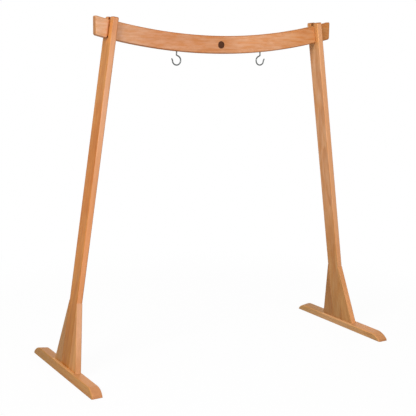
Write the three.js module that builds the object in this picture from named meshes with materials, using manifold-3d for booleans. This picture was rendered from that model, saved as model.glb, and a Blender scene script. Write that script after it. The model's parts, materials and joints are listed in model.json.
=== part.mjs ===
// A free-standing wooden gong stand: two leaning legs on long feet, with an arched crossbar in their forked tops.
// Lengths are in millimetres. +X runs along the crossbar, -Y is the front, +Z is up, and the floor is z = 0.

import * as THREE from 'three';
import { mergeVertices } from 'three/addons/utils/BufferGeometryUtils.js';
import Module from 'manifold-3d';

const wasm = await Module();
wasm.setup();

// The stand as a whole
const standHeight = 1497.5; // top of a post, at the middle of its thickness
const legSpread = 1484.4; // between the axes of the two posts, where they meet the floor
const leanDegrees = 8.5; // each post leans inwards by this much
const seatGap = 0.3; // between two pieces that rest on each other
const boreClearance = 0.3; // round a pin in its bore, on the radius
const cutOverrun = 40; // how far a cut runs past the face that it opens

// Posts
const postThickness = 26;
const postWidth = 78.5;
const postEase = 3.5; // rounding of the long edges
const postTopRadius = 6;
const slotMouthRadius = 4;

// Feet
const footLength = 649;
const footWidth = 49;
const footRise = 35; // top face above the floor, along the axis of the post
const footOffset = 2.5; // middle of the foot, outwards from the axis of the post
const footEase = 5;
const noseRadius = 75; // curve that takes the top face down to the end
const noseReach = 59.5; // length of that curve along the foot

// Wedges beside each post
const wedgeHeight = 281.5;
const wedgeBase = 75.5;
const wedgeEase = 3.5;

// Crossbar
const stubReach = 82; // end of the bar beyond the middle of a post's top
const barHeight = 78;
const barThickness = 30;
const barRadius = 2480; // top edge, curved about a point above the stand
const barEase = 6;
const barCornerRadius = 8;
const postProud = 13.7; // top of a post above the top edge of the bar
const shoulderGap = 4; // outer shoulder of the bar off the face of the post
const neckThickness = 19; // where the bar passes through the slots
const neckNotch = 9; // underside of the neck above the underside of the bar
const neckInset = 0.6; // top of the neck below the top edge of the bar
const neckEase = 2;
const coreRise = 3; // the neck's board above the underside of the bar
const coreReach = 20; // the neck's board short of the ends of the bar

// Round inlay in the middle of the bar
const inlayRadius = 16;
const inlayThickness = 3;
const inlayRise = 0; // middle of the inlay above the middle of the bar's height

// Hooks for the gong
const hookSpacing = 432;
const wireRadius = 3;
const ringRadius = 20;
const hookDrop = 38.2; // middle of the ring below the underside of the bar
const hookStem = 23; // straight stem down to this height above the middle of the ring
const hookScrew = 28; // length of the stem inside the bar
const tipRise = 10; // end of the wire above the middle of the ring
const tipFlare = 4.5; // end of the wire outside the ring's radius
const ringStart = 60; // degrees above level where the stem joins the ring
const ringEnd = -180; // degrees where the ring turns up into the tip

// Bolts up through the foot into the end of the post
const boltRadius = 4;
const boltLength = 50;
const headRadius = 6.5;
const headHeight = 8;
const socketRadius = 3.46; // across the corners of the hexagon
const socketDepth = 4.5;
const headRecess = 14; // seat of the washer above the floor, along the axis of the post
const boltSpacing = 40;
const boltEndRoom = 5;
const washerRadius = 8.4;
const washerThickness = 1.6;
const washerRoom = 0.6; // counterbore larger than the washer, on the radius
const insertRadius = 6;
const insertLength = 20;

// Dowels between the wedges and the foot
const dowelRadius = 4;
const dowelLength = 36;
const dowelInset = 18; // from the side of the post
const dowelChamfer = 1;

// Pads under the feet
const padRadius = 15;
const padThickness = 3;
const padProud = 1; // below the foot
const padInset = 55; // from the end of the foot
const padEase = 0.8;

// How finely the curves are divided
const easeSteps = 3;
const cornerSteps = 4;
const noseSteps = 10;
const arcSteps = 30;
const stubSteps = 3;
const roundSides = 24;
const wireSides = 10;
const wireSteps = 44;
const ringStep = 20; // degrees between the points that set the ring
const stemSteps = 4;
const hexSides = 6;

// Values that follow
const lean = THREE.MathUtils.degToRad(leanDegrees);
const legX = legSpread / 2;
const postTop = standHeight / Math.cos(lean);
const slotWidth = neckThickness + 2 * boreClearance;

const sag = (radius, x) => radius - Math.sqrt(radius * radius - x * x);
const crossX = legX - standHeight * Math.tan(lean);
const barEnd = crossX + stubReach;
const barMiddleTop = standHeight - postProud - sag(barRadius, crossX);
const arcCentreZ = barMiddleTop + barRadius;
const underRadius = barRadius + barHeight;
const underZ = (x) => arcCentreZ - Math.sqrt(underRadius * underRadius - x * x);
const slotFloorZ = underZ(crossX) + neckNotch;
const slotFloor = slotFloorZ / Math.cos(lean);

// A point of the right leg's own frame, given outwards from the post's axis and up along it, in the X-Z plane
const legPoint = (out, up) =>
  new THREE.Vector2(
    legX + out * Math.cos(lean) - up * Math.sin(lean),
    out * Math.sin(lean) + up * Math.cos(lean)
  );

const legMatrix = (side) => {
  const turn = new THREE.Matrix4().makeRotationZ(side > 0 ? 0 : Math.PI);
  const place = new THREE.Matrix4().makeTranslation(legX, 0, 0);
  const tilt = new THREE.Matrix4().makeRotationY(-lean);
  return turn.multiply(place).multiply(tilt);
};

// Level directions at the floor, seen from the leaning frame of a leg
const floorFrame = new THREE.Matrix4().makeRotationY(lean);

// Solids
function solid(geometry) {
  const bare = geometry.clone();
  bare.deleteAttribute('normal');
  bare.deleteAttribute('uv');
  const welded = mergeVertices(bare);
  const mesh = new wasm.Mesh({
    numProp: 3,
    vertProperties: new Float32Array(welded.attributes.position.array),
    triVerts: new Uint32Array(welded.index.array)
  });
  return new wasm.Manifold(mesh);
}

function surface(body) {
  const mesh = body.getMesh();
  const geometry = new THREE.BufferGeometry();
  geometry.setAttribute('position', new THREE.BufferAttribute(new Float32Array(mesh.vertProperties), mesh.numProp));
  geometry.setIndex(new THREE.BufferAttribute(new Uint32Array(mesh.triVerts), 1));
  geometry.computeVertexNormals();
  return geometry;
}

// A box given by its lowest and highest corners
function box(low, high) {
  const size = new THREE.Vector3().subVectors(high, low);
  const geometry = new THREE.BoxGeometry(size.x, size.y, size.z);
  geometry.translate((low.x + high.x) / 2, (low.y + high.y) / 2, (low.z + high.z) / 2);
  return geometry;
}

// An upright round bar between two heights
function upright(radius, low, high, sides = roundSides) {
  const geometry = new THREE.CylinderGeometry(radius, radius, high - low, sides);
  geometry.rotateX(Math.PI / 2);
  geometry.translate(0, 0, (low + high) / 2);
  return geometry;
}

// A round piece turned from a profile of radius and height
function turned(profile, sides = roundSides) {
  const geometry = new THREE.LatheGeometry(profile.map(([r, h]) => new THREE.Vector2(r, h)), sides);
  geometry.rotateX(Math.PI / 2);
  return geometry;
}

// A board of this outline, with its edges rounded, centred on its thickness
function board(outline, thickness, ease) {
  const geometry = new THREE.ExtrudeGeometry(new THREE.Shape(outline), {
    depth: thickness - 2 * ease,
    bevelEnabled: true,
    bevelThickness: ease,
    bevelSize: ease,
    bevelOffset: -ease,
    bevelSegments: easeSteps
  });
  geometry.translate(0, 0, ease - thickness / 2);
  return geometry;
}

// Outline across and up, thickness along X
const acrossLeg = new THREE.Matrix4().makeBasis(
  new THREE.Vector3(0, 1, 0),
  new THREE.Vector3(0, 0, 1),
  new THREE.Vector3(1, 0, 0)
);

// A corner between two neighbours, rounded by an arc of this radius
function corner(before, at, after, radius) {
  const back = before.clone().sub(at).normalize();
  const on = after.clone().sub(at).normalize();
  const half = Math.acos(back.dot(on)) / 2;
  const middle = back.clone().add(on).setLength(radius / Math.sin(half)).add(at);
  const start = back.multiplyScalar(radius / Math.tan(half)).add(at).sub(middle);
  const end = on.multiplyScalar(radius / Math.tan(half)).add(at).sub(middle);
  const sweep = Math.atan2(start.cross(end), start.dot(end));
  const points = [];
  for (let i = 0; i <= cornerSteps; i += 1) {
    points.push(start.clone().rotateAround(new THREE.Vector2(), (sweep * i) / cornerSteps).add(middle));
  }
  return points;
}

// A closed outline whose corners are rounded by their own radii, or sharp where the radius is zero
function rounded(corners) {
  const outline = [];
  corners.forEach(([x, y, radius], i) => {
    const at = new THREE.Vector2(x, y);
    const before = corners[(i + corners.length - 1) % corners.length];
    const after = corners[(i + 1) % corners.length];
    if (radius > 0) {
      const ends = [new THREE.Vector2(before[0], before[1]), new THREE.Vector2(after[0], after[1])];
      outline.push(...corner(ends[0], at, ends[1], radius));
    } else {
      outline.push(at);
    }
  });
  return outline;
}

// Places shared by the pieces of a leg
const footOuter = footOffset + footWidth / 2;
const footInner = footOffset - footWidth / 2;
const postSide = postWidth / 2;
const seat = footRise + seatGap;
const boltPlaces = [-boltSpacing / 2, boltSpacing / 2];
const dowelPlaces = [-(postSide + dowelInset), postSide + dowelInset];
const padPlaces = [-(footLength / 2 - padInset), footLength / 2 - padInset];
const dowelLow = footRise + seatGap / 2 - dowelLength / 2;
const dowelHigh = dowelLow + dowelLength;
const boltSeat = headRecess - seatGap - washerThickness - seatGap;
const boltEnd = boltSeat + boltLength;
const insertLow = seat + seatGap;
const insertHigh = insertLow + insertLength;

const moved = (geometry, x, y, z) => geometry.clone().translate(x, y, z);

// Foot: a board that leans with its post and is planed level underneath
function makeFoot() {
  const half = footLength / 2;
  const noseStart = half - noseReach;
  const noseAngle = Math.asin(noseReach / noseRadius);
  const nose = [];
  for (let i = 0; i <= noseSteps; i += 1) {
    const angle = (noseAngle * i) / noseSteps;
    nose.push([noseStart + noseRadius * Math.sin(angle), footRise - noseRadius * (1 - Math.cos(angle))]);
  }
  const outline = [
    ...nose.map(([y, z]) => new THREE.Vector2(-y, z)).reverse(),
    ...nose.map(([y, z]) => new THREE.Vector2(y, z)),
    new THREE.Vector2(half, -cutOverrun),
    new THREE.Vector2(-half, -cutOverrun)
  ];
  const geometry = board(outline.reverse(), footWidth, footEase);
  geometry.applyMatrix4(acrossLeg);
  geometry.translate(footOffset, 0, 0);
  const reach = footLength;
  const below = box(
    new THREE.Vector3(-reach, -reach, -reach),
    new THREE.Vector3(reach, reach, padProud)
  ).applyMatrix4(floorFrame);
  let body = solid(geometry).subtract(solid(below));
  const counterbore = upright(washerRadius + washerRoom, -cutOverrun, headRecess);
  const through = upright(boltRadius + boreClearance, 0, footRise + cutOverrun);
  for (const y of boltPlaces) {
    body = body.subtract(solid(moved(counterbore, 0, y, 0)));
    body = body.subtract(solid(moved(through, 0, y, 0)));
  }
  const dowelBore = upright(dowelRadius + boreClearance, dowelLow - seatGap, footRise + cutOverrun);
  for (const y of dowelPlaces) {
    body = body.subtract(solid(moved(dowelBore, 0, y, 0)));
  }
  const padBore = upright(padRadius + boreClearance, -cutOverrun, padThickness + seatGap);
  for (const y of padPlaces) {
    body = body.subtract(solid(moved(padBore, footOffset / Math.cos(lean), y, 0).applyMatrix4(floorFrame)));
  }
  return surface(body);
}

// Post: a board with a slot in its top for the bar
function makePost() {
  const slotSide = slotWidth / 2;
  const outline = rounded([
    [-postSide, seat - cutOverrun, 0],
    [postSide, seat - cutOverrun, 0],
    [postSide, postTop, postTopRadius],
    [slotSide, postTop, slotMouthRadius],
    [slotSide, slotFloor, 0],
    [-slotSide, slotFloor, 0],
    [-slotSide, postTop, slotMouthRadius],
    [-postSide, postTop, postTopRadius]
  ]);
  const geometry = board(outline, postThickness, postEase);
  geometry.applyMatrix4(acrossLeg);
  const foot = box(
    new THREE.Vector3(-postThickness, -postWidth, seat - 2 * cutOverrun),
    new THREE.Vector3(postThickness, postWidth, seat)
  );
  let body = solid(geometry).subtract(solid(foot));
  const insertBore = upright(insertRadius + boreClearance, seat - cutOverrun, insertHigh + seatGap);
  const boltBore = upright(boltRadius + boreClearance, seat - cutOverrun, boltEnd + boltEndRoom);
  for (const y of boltPlaces) {
    body = body.subtract(solid(moved(insertBore, 0, y, 0)));
    body = body.subtract(solid(moved(boltBore, 0, y, 0)));
  }
  return surface(body);
}

// Wedge: a long triangle between a side of the post and the foot, drawn for the side towards +Y
function makeWedge() {
  const near = postSide + seatGap;
  const low = seat;
  const tip = new THREE.Vector2(near, low + wedgeHeight);
  const toe = new THREE.Vector2(near + wedgeBase, low);
  const slope = tip.clone().sub(toe).setLength(cutOverrun);
  const above = tip.clone().add(slope);
  const below = toe.clone().sub(slope);
  const back = new THREE.Vector2(above.x - cutOverrun, below.y - cutOverrun);
  const geometry = board([back, below, above], postThickness, wedgeEase);
  geometry.applyMatrix4(acrossLeg);
  const room = box(
    new THREE.Vector3(-postThickness, near, low),
    new THREE.Vector3(postThickness, near + wedgeBase + cutOverrun, low + wedgeHeight + cutOverrun)
  );
  let body = solid(geometry).intersect(solid(room));
  const bore = upright(dowelRadius + boreClearance, low - cutOverrun, dowelHigh + seatGap);
  body = body.subtract(solid(moved(bore, 0, postSide + dowelInset, 0)));
  return surface(body);
}

// Where a straight shoulder of the bar, this far outwards from the post's axis, meets an arc of the bar
function shoulderAt(out, radius) {
  const base = legPoint(out, 0);
  const along = legPoint(out, 1).sub(base);
  const from = base.clone().sub(new THREE.Vector2(0, arcCentreZ));
  const half = from.dot(along);
  const up = -half - Math.sqrt(half * half - from.lengthSq() + radius * radius);
  return legPoint(out, up);
}

// Points along an arc of the bar between two places across it, both included
function barArc(radius, fromX, toX, steps) {
  const points = [];
  for (let i = 0; i <= steps; i += 1) {
    const x = fromX + ((toX - fromX) * i) / steps;
    points.push(new THREE.Vector2(x, arcCentreZ - Math.sqrt(radius * radius - x * x)));
  }
  return points;
}

// Outline between two ends, each given by its foot and its top, with all four corners rounded
function panelOutline(leftLow, rightLow, rightHigh, leftHigh, steps) {
  const room = 2 * barCornerRadius;
  const under = barArc(underRadius, leftLow.x + room, rightLow.x - room, steps);
  const over = barArc(barRadius, rightHigh.x - room, leftHigh.x + room, steps);
  return [
    ...corner(leftHigh, leftLow, under[0], barCornerRadius),
    ...under,
    ...corner(under[under.length - 1], rightLow, rightHigh, barCornerRadius),
    ...corner(rightLow, rightHigh, over[0], barCornerRadius),
    ...over,
    ...corner(over[over.length - 1], leftHigh, leftLow, barCornerRadius)
  ];
}

const mirrored = (point) => new THREE.Vector2(-point.x, point.y);

// A board of the bar stands in the X-Z plane
const standing = (geometry) => geometry.rotateX(Math.PI / 2);

// Crossbar: three thick panels on a thinner board that shows as a neck at each post
function makeBar() {
  const innerOut = -(postThickness / 2 + seatGap);
  const outerOut = postThickness / 2 + shoulderGap;
  const innerLow = shoulderAt(innerOut, underRadius);
  const innerHigh = shoulderAt(innerOut, barRadius);
  const outerLow = shoulderAt(outerOut, underRadius);
  const outerHigh = shoulderAt(outerOut, barRadius);
  const end = barEnd;
  const endLow = new THREE.Vector2(end, underZ(end));
  const endHigh = new THREE.Vector2(end, arcCentreZ - Math.sqrt(barRadius * barRadius - end * end));
  const middle = panelOutline(mirrored(innerLow), innerLow, innerHigh, mirrored(innerHigh), arcSteps);
  const right = panelOutline(outerLow, endLow, endHigh, outerHigh, stubSteps);
  const left = panelOutline(mirrored(endLow), mirrored(outerLow), mirrored(outerHigh), mirrored(endHigh), stubSteps);
  const coreEnd = end - coreReach;
  const coreOutline = [
    ...barArc(underRadius - coreRise, -coreEnd, coreEnd, arcSteps),
    ...barArc(barRadius + neckInset, coreEnd, -coreEnd, arcSteps)
  ];
  let body = solid(standing(board(coreOutline, neckThickness, neckEase)));
  const seatBelow = box(
    new THREE.Vector3(innerOut - cutOverrun, -barThickness, slotFloor - barHeight),
    new THREE.Vector3(outerOut + cutOverrun, barThickness, slotFloor + seatGap)
  );
  for (const side of [-1, 1]) {
    body = body.subtract(solid(seatBelow.clone().applyMatrix4(legMatrix(side))));
  }
  for (const outline of [left, middle, right]) {
    body = body.add(solid(standing(board(outline, barThickness, barEase))));
  }
  const screwBore = upright(wireRadius + boreClearance, hookRingZ, hookTop + seatGap);
  for (const x of hookPlaces) {
    body = body.subtract(solid(moved(screwBore, x, 0, 0)));
  }
  const pocket = upright(inlayRadius + boreClearance, barThickness / 2 - inlayThickness - seatGap, barThickness);
  pocket.rotateX(Math.PI / 2);
  body = body.subtract(solid(moved(pocket, 0, 0, inlayZ)));
  return surface(body);
}

const inlayZ = barMiddleTop - barHeight / 2 + inlayRise;
const hookX = hookSpacing / 2;
const hookPlaces = [-hookX, hookX];
const hookRingZ = underZ(hookX) - hookDrop;
const hookTop = underZ(hookX) + hookScrew;

// Hook: one bent wire, drawn about the middle of its ring with the closed side towards +X
function makeHook() {
  const up = hookTop - hookRingZ;
  const points = [];
  for (let i = 0; i <= stemSteps; i += 1) {
    points.push(new THREE.Vector3(0, 0, up + ((hookStem - up) * i) / stemSteps));
  }
  for (let degrees = ringStart; degrees >= ringEnd; degrees -= ringStep) {
    const angle = THREE.MathUtils.degToRad(degrees);
    points.push(new THREE.Vector3(ringRadius * Math.cos(angle), 0, ringRadius * Math.sin(angle)));
  }
  points.push(new THREE.Vector3(-(ringRadius + tipFlare), 0, tipRise));
  const path = new THREE.CatmullRomCurve3(points, false, 'centripetal');
  const round = new THREE.Shape().absarc(0, 0, wireRadius, 0, 2 * Math.PI);
  const section = new THREE.Shape(round.getPoints(wireSides / 2).slice(0, -1));
  const wire = new THREE.ExtrudeGeometry(section, { steps: wireSteps, extrudePath: path });
  const tip = moved(new THREE.SphereGeometry(wireRadius, wireSides, wireSides / 2), ...points[points.length - 1].toArray());
  return surface(solid(wire).add(solid(tip)));
}

// Cap-head bolt, its head downwards, from the seat of its head
function makeBolt() {
  const profile = [
    [0, -headHeight],
    [headRadius, -headHeight],
    [headRadius, 0],
    [boltRadius, 0],
    [boltRadius, boltLength],
    [0, boltLength]
  ];
  const socket = upright(socketRadius, -headHeight - cutOverrun, socketDepth - headHeight, hexSides);
  return surface(solid(turned(profile)).subtract(solid(socket)));
}

// A plain ring from a bore, an outer radius and a height
function ring(inner, outer, height) {
  const profile = [
    [inner, 0],
    [outer, 0],
    [outer, height],
    [inner, height],
    [inner, 0]
  ];
  return surface(solid(turned(profile)));
}

function makeDowel() {
  const profile = [
    [0, 0],
    [dowelRadius - dowelChamfer, 0],
    [dowelRadius, dowelChamfer],
    [dowelRadius, dowelLength - dowelChamfer],
    [dowelRadius - dowelChamfer, dowelLength],
    [0, dowelLength]
  ];
  return surface(solid(turned(profile)));
}

function makePad() {
  const profile = [
    [0, 0],
    [padRadius - padEase, 0],
    [padRadius, padEase],
    [padRadius, padThickness],
    [0, padThickness]
  ];
  return surface(solid(turned(profile)));
}

function makeInlay() {
  const profile = [
    [0, barThickness / 2 - inlayThickness],
    [inlayRadius, barThickness / 2 - inlayThickness],
    [inlayRadius, barThickness / 2],
    [0, barThickness / 2]
  ];
  const geometry = turned(profile);
  geometry.rotateX(Math.PI / 2);
  return surface(solid(geometry));
}

// Finishes
const finish = (color, roughness, metalness) => new THREE.MeshStandardMaterial({ color, roughness, metalness });
const beechPost = finish('#c98d58', 0.5, 0);
const beechWedge = finish('#d09a68', 0.5, 0);
const beechBar = finish('#d79a70', 0.48, 0);
const beechFoot = finish('#c38a58', 0.5, 0);
const walnut = finish('#5a3a24', 0.45, 0);
const dowelWood = finish('#d8b183', 0.6, 0);
const plated = finish('#b9b9b6', 0.3, 1);
const blackSteel = finish('#3c3d3f', 0.45, 1);
const brass = finish('#b8995a', 0.4, 1);
const rubber = finish('#2e2a27', 0.85, 0);

// The stand
const stand = new THREE.Group();

function put(parent, name, geometry, material, x = 0, y = 0, z = 0) {
  const mesh = new THREE.Mesh(geometry, material);
  mesh.name = name;
  mesh.position.set(x, y, z);
  parent.add(mesh);
  return mesh;
}

const foot = makeFoot();
const post = makePost();
const wedge = makeWedge();
const bolt = makeBolt();
const washer = ring(boltRadius + boreClearance, washerRadius, washerThickness);
const insert = ring(boltRadius + boreClearance, insertRadius, insertLength);
const dowel = makeDowel();
const pad = makePad();

for (const [sideName, side] of [['left', -1], ['right', 1]]) {
  const leg = new THREE.Group();
  leg.applyMatrix4(legMatrix(side));
  stand.add(leg);
  const endName = (y) => (y * side < 0 ? 'front' : 'back');
  put(leg, `${sideName}_foot`, foot, beechFoot);
  put(leg, `${sideName}_post`, post, beechPost);
  for (const way of [-1, 1]) {
    const piece = put(leg, `${sideName}_${endName(way)}_wedge`, wedge, beechWedge);
    piece.rotation.z = way > 0 ? 0 : Math.PI;
  }
  for (const y of boltPlaces) {
    put(leg, `${sideName}_${endName(y)}_bolt`, bolt, blackSteel, 0, y, boltSeat);
    put(leg, `${sideName}_${endName(y)}_washer`, washer, plated, 0, y, boltSeat + seatGap);
    put(leg, `${sideName}_${endName(y)}_insert`, insert, brass, 0, y, insertLow);
  }
  for (const y of dowelPlaces) {
    put(leg, `${sideName}_${endName(y)}_dowel`, dowel, dowelWood, 0, y, dowelLow);
  }
  const level = new THREE.Group();
  level.applyMatrix4(floorFrame);
  leg.add(level);
  for (const y of padPlaces) {
    put(level, `${sideName}_${endName(y)}_pad`, pad, rubber, footOffset / Math.cos(lean), y, 0);
  }
}

put(stand, 'crossbar', makeBar(), beechBar);
put(stand, 'bar_inlay', makeInlay(), walnut, 0, 0, inlayZ);
const hook = makeHook();
put(stand, 'right_hook', hook, plated, hookX, 0, hookRingZ).rotation.z = Math.PI;
put(stand, 'left_hook', hook, plated, -hookX, 0, hookRingZ);

export default stand;
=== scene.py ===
import json
import math

import bmesh
import bpy
from mathutils import Matrix, Vector


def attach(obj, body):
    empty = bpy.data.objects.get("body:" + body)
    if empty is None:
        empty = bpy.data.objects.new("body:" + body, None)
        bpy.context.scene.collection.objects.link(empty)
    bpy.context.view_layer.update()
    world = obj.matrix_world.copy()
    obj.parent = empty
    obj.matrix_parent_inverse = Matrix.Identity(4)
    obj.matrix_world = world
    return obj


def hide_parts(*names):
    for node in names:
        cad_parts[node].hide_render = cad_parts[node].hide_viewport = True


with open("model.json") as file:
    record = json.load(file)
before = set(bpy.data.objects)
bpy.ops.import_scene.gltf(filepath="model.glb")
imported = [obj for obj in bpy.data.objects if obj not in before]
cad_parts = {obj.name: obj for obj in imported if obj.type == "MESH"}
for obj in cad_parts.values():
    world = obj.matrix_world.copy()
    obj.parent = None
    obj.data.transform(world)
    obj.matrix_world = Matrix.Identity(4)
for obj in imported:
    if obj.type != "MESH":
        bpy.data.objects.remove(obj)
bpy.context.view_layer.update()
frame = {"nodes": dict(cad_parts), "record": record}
scene = bpy.context.scene
nodes = frame["nodes"]

# Sizes that the dressing shares with the stand, in metres
LEAN = math.radians(8.5)
STAND_HEIGHT = 1.4975
LEG_X = 0.7422
FOOT_OFFSET = 0.0025
POST_THICKNESS = 0.026
POST_PROUD = 0.0137
SEAT_GAP = 0.0003
BORE_CLEARANCE = 0.0003

# Crossbar: an ease is the rounding of its edges along the bar, through it and up it
BAR_RADIUS = 2.48
BAR_HEIGHT = 0.078
BAR_THICKNESS = 0.030
BAR_EASE = (0.008, 0.006, 0.007)
STUB_REACH = 0.082
SHOULDER_GAP = 0.004
SHOULDER_EASE = 0.001
NECK_THICKNESS = 0.019
NECK_NOTCH = 0.009
NECK_INSET = 0.0006
NECK_EASE = (0.002, 0.002, 0.002)
NECK_OVERLAP = 0.012
INLAY_RADIUS = 0.016
INLAY_DEPTH = 0.003

# Hooks
HOOK_X = 0.216
WIRE = 0.003
RING = 0.020
HOOK_DROP = 0.0382
HOOK_STEM = 0.023
HOOK_SCREW = 0.028
BORE_MIDDLE = 1.375
TIP_RISE = 0.009
TIP_FLARE = 0.0045

# Bolts and washers
BOLT_RADIUS = 0.004
BOLT_LENGTH = 0.050
BOLT_SPACING = 0.040
BOLT_SEAT = 0.0118
THREAD_PITCH = 0.00125
THREAD_DEPTH = 0.0004
HEAD_RADIUS = 0.0065
HEAD_HEIGHT = 0.008
SOCKET_RADIUS = 0.00346
SOCKET_DEPTH = 0.0045
WASHER_RADIUS = 0.0084
WASHER_THICKNESS = 0.0016

# Pads under the feet
PAD_RADIUS = 0.015
PAD_THICKNESS = 0.003
PAD_SPACING = 0.539

# Sizes that follow: the arcs of the bar share a centre above the stand
UNDER_RADIUS = BAR_RADIUS + BAR_HEIGHT
MIDDLE_RADIUS = BAR_RADIUS + BAR_HEIGHT / 2
CROSS_X = LEG_X - STAND_HEIGHT * math.tan(LEAN)
BAR_END = CROSS_X + STUB_REACH
ARC_Z = STAND_HEIGHT - POST_PROUD + math.sqrt(BAR_RADIUS**2 - CROSS_X**2)
SLOT_SIDE = NECK_THICKNESS / 2 + BORE_CLEARANCE

# How closely meshes are welded
BOARD_WELD = 0.00002
SKIN_WELD = 0.000002

# Added to a whole step before it is divided, so that none is rounded down
STEP_NUDGE = 0.01

# Camera
AZIMUTH = math.radians(30.947)
PITCH = math.radians(10.069)
ROLL = math.radians(0.7028)
FOCAL_PIXELS = 913.8
IMAGE_PIXELS = 416
EYE = Vector((-2.1435, -3.4932, 1.3857))


def add_camera():
    data = bpy.data.cameras.new("camera")
    data.sensor_width = 36.0
    data.lens = FOCAL_PIXELS * data.sensor_width / IMAGE_PIXELS
    data.clip_start = 0.05
    data.clip_end = 60.0
    forward = Vector(
        (
            math.sin(AZIMUTH) * math.cos(PITCH),
            math.cos(AZIMUTH) * math.cos(PITCH),
            -math.sin(PITCH),
        )
    )
    level = Vector((math.cos(AZIMUTH), -math.sin(AZIMUTH), 0.0))
    upward = level.cross(forward)
    right = level * math.cos(ROLL) + upward * math.sin(ROLL)
    top = upward * math.cos(ROLL) - level * math.sin(ROLL)
    turn = Matrix((right, top, -forward)).transposed().to_4x4()
    camera = bpy.data.objects.new("camera", data)
    camera.matrix_world = Matrix.Translation(EYE) @ turn
    scene.collection.objects.link(camera)
    scene.camera = camera


add_camera()


# Short ways to write trees of nodes
def linear(hex_colour):
    """A colour written as rrggbb, for a socket."""
    channels = [int(hex_colour[i : i + 2], 16) / 255 for i in (0, 2, 4)]
    bent = [c / 12.92 if c <= 0.04045 else ((c + 0.055) / 1.055) ** 2.4 for c in channels]
    return (*bent, 1.0)


def scaled(colour, red, green, blue):
    """A colour with its channels multiplied, for a socket."""
    r, g, b, _ = linear(colour)
    return (r * red, g * green, b * blue, 1.0)


class Tree:
    """Nodes that materials, shapes and the world share."""

    def __init__(self, tree):
        self.tree = tree
        self.tree.nodes.clear()

    def node(self, kind, inputs=(), **settings):
        """A new node. Its inputs are given in order, or by their labels in a dictionary."""
        made = self.tree.nodes.new(kind)
        for key, value in settings.items():
            setattr(made, key, value)
        pairs = inputs.items() if isinstance(inputs, dict) else enumerate(inputs)
        for which, value in pairs:
            self.feed(made.inputs[which], value)
        return made

    def feed(self, socket, value):
        if isinstance(value, bpy.types.NodeSocket):
            self.tree.links.new(value, socket)
        else:
            socket.default_value = value

    def math(self, operation, *values, clamp=False):
        return self.node("ShaderNodeMath", values, operation=operation, use_clamp=clamp).outputs[0]

    def total(self, *values):
        result = values[0]
        for value in values[1:]:
            result = self.math("ADD", result, value)
        return result

    def product(self, *values):
        result = values[0]
        for value in values[1:]:
            result = self.math("MULTIPLY", result, value)
        return result

    def less(self, one, two):
        return self.math("SUBTRACT", one, two)

    def vector(self, operation, *values):
        made = self.node("ShaderNodeVectorMath", values, operation=operation)
        return made.outputs["Value" if operation in ("DOT_PRODUCT", "LENGTH") else "Vector"]

    def combine(self, x, y, z):
        return self.node("ShaderNodeCombineXYZ", (x, y, z)).outputs["Vector"]

    def separate(self, vector):
        return self.node("ShaderNodeSeparateXYZ", (vector,)).outputs

    def spread(self, value, low, high, to_low=0.0, to_high=1.0, smooth=False):
        """The value's way from low to high, taken to another span."""
        made = self.node(
            "ShaderNodeMapRange",
            (value, low, high, to_low, to_high),
            clamp=True,
            interpolation_type="SMOOTHSTEP" if smooth else "LINEAR",
        )
        return made.outputs["Result"]

    def fade(self, value, low, high):
        """One below low, and smoothly down to zero at high."""
        return self.spread(value, low, high, 1.0, 0.0, smooth=True)


class Finish(Tree):
    """A material on one principled shader."""

    def __init__(self, name):
        self.material = bpy.data.materials.new(name)
        self.material.use_nodes = True
        super().__init__(self.material.node_tree)
        self.out = self.node("ShaderNodeOutputMaterial")
        self.shader = self.node("ShaderNodeBsdfPrincipled")
        self.tree.links.new(self.shader.outputs["BSDF"], self.out.inputs["Surface"])
        self.place = self.node("ShaderNodeTexCoord").outputs

    def noise(self, vector, scale, detail=2.0, roughness=0.5):
        inputs = {"Vector": vector, "Scale": scale, "Detail": detail, "Roughness": roughness}
        return self.node("ShaderNodeTexNoise", inputs).outputs["Fac"]

    def mix(self, factor, one, two, blend="MIX"):
        made = self.node(
            "ShaderNodeMix", {"Factor": factor, "A": one, "B": two}, data_type="RGBA", blend_type=blend
        )
        return made.outputs["Result"]

    def tint(self, factor, colour, by):
        """The colour, multiplied by another as far as the factor says."""
        return self.mix(factor, colour, by, "MULTIPLY")

    def ramp(self, value, *stops):
        made = self.node("ShaderNodeValToRGB")
        band = made.color_ramp.elements
        while len(band) < len(stops):
            band.new(0.5)
        for element, (place, colour) in zip(band, stops):
            element.position = place
            element.color = colour if isinstance(colour, tuple) else linear(colour)
        self.feed(made.inputs["Fac"], value)
        return made.outputs["Color"]

    def bump(self, height, strength, distance):
        made = self.node("ShaderNodeBump", {"Strength": strength, "Distance": distance, "Height": height})
        self.feed(self.shader.inputs["Normal"], made.outputs["Normal"])


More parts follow.
